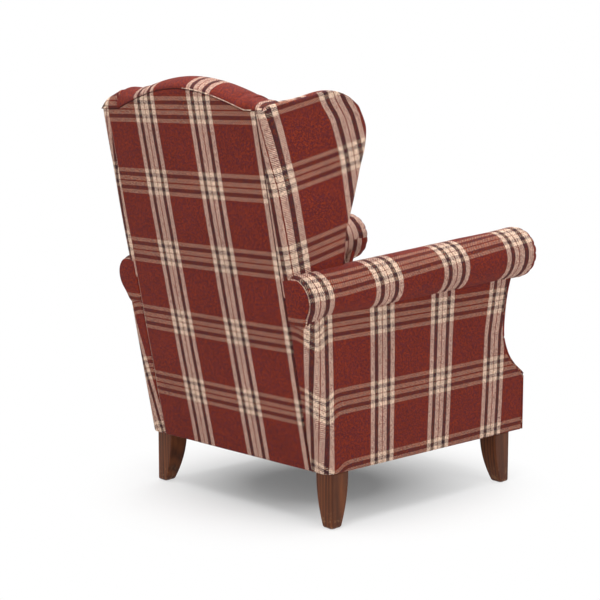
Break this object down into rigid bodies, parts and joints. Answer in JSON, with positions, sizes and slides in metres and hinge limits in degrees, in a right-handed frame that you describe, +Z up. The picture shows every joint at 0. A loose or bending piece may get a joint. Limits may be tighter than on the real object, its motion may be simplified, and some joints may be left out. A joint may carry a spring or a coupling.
{
  "type": "fireside chair",
  "caption": "Wing-back fireside chair with a camel-shaped back, scroll arms, a loose boxed seat cushion and tapered wooden legs, covered in red tartan.",
  "frame": {"origin": "on the floor, under the middle of the chair's box", "axes": "+Z up, the sitter looks along -Y, +X is at the sitter's left, +Y to the rear"},
  "size_m": [0.7612, 0.9426, 1.0697],
  "materials": {
    "tartan": "woven wool tartan, matt",
    "stained_walnut": "dark walnut stain, satin lacquer",
    "frame_timber": "sawn beech, unfinished",
    "steel": "zinc-plated",
    "padding": "foam and wadding",
    "hessian": "coarse jute cloth",
    "dust_cloth": "black non-woven cloth"
  },
  "bodies": {
    "chair": {"back_post_left": "frame_timber", "back_post_right": "frame_timber", "top_rail": "frame_timber", "back_tack_rail": "frame_timber", "front_rail": "frame_timber", "rear_rail": "frame_timber", "side_rail_left": "frame_timber", "side_rail_right": "frame_timber", "arm_stump_left": "frame_timber", "arm_stump_right": "frame_timber", "arm_upright_left": "frame_timber", "arm_upright_right": "frame_timber", "arm_rail_left": "frame_timber", "arm_rail_right": "frame_timber", "arm_tack_rail_left": "frame_timber", "arm_tack_rail_right": "frame_timber", "wing_frame_left": "frame_timber", "wing_frame_right": "frame_timber", "scroll_board_left": "frame_timber", "scroll_board_right": "frame_timber", "corner_blocks": "frame_timber", "block_screws": "steel", "leg_front_left": "stained_walnut", "leg_front_right": "stained_walnut", "leg_rear_left": "stained_walnut", "leg_rear_right": "stained_walnut", "leg_bolts": "steel", "leg_plates": "steel", "leg_glides": "steel", "seat_springs": "steel", "spring_clips": "steel", "spring_cover": "hessian", "deck_pad": "padding", "back_webbing": "hessian", "back_lining": "padding", "inside_back": "tartan", "outside_back": "tartan", "wing_pad_left": "tartan", "wing_pad_right": "tartan", "outside_wing_left": "tartan", "outside_wing_right": "tartan", "arm_roll_left": "tartan", "arm_roll_right": "tartan", "inside_arm_left": "tartan", "inside_arm_right": "tartan", "arm_facing_left": "tartan", "arm_facing_right": "tartan", "outside_arm_left": "tartan", "outside_arm_right": "tartan", "front_border": "tartan", "dust_cover": "dust_cloth"},
    "seat_cushion": {"cushion_core": "padding", "cushion_zip": "steel", "cushion_cover": "tartan"}
  },
  "joints": [
    {"name": "cushion_lift", "type": "slide", "parent": "chair", "child": "seat_cushion", "axis": [0, -0.7071, 0.7071], "range_m": [0, 0.85]}
  ]
}
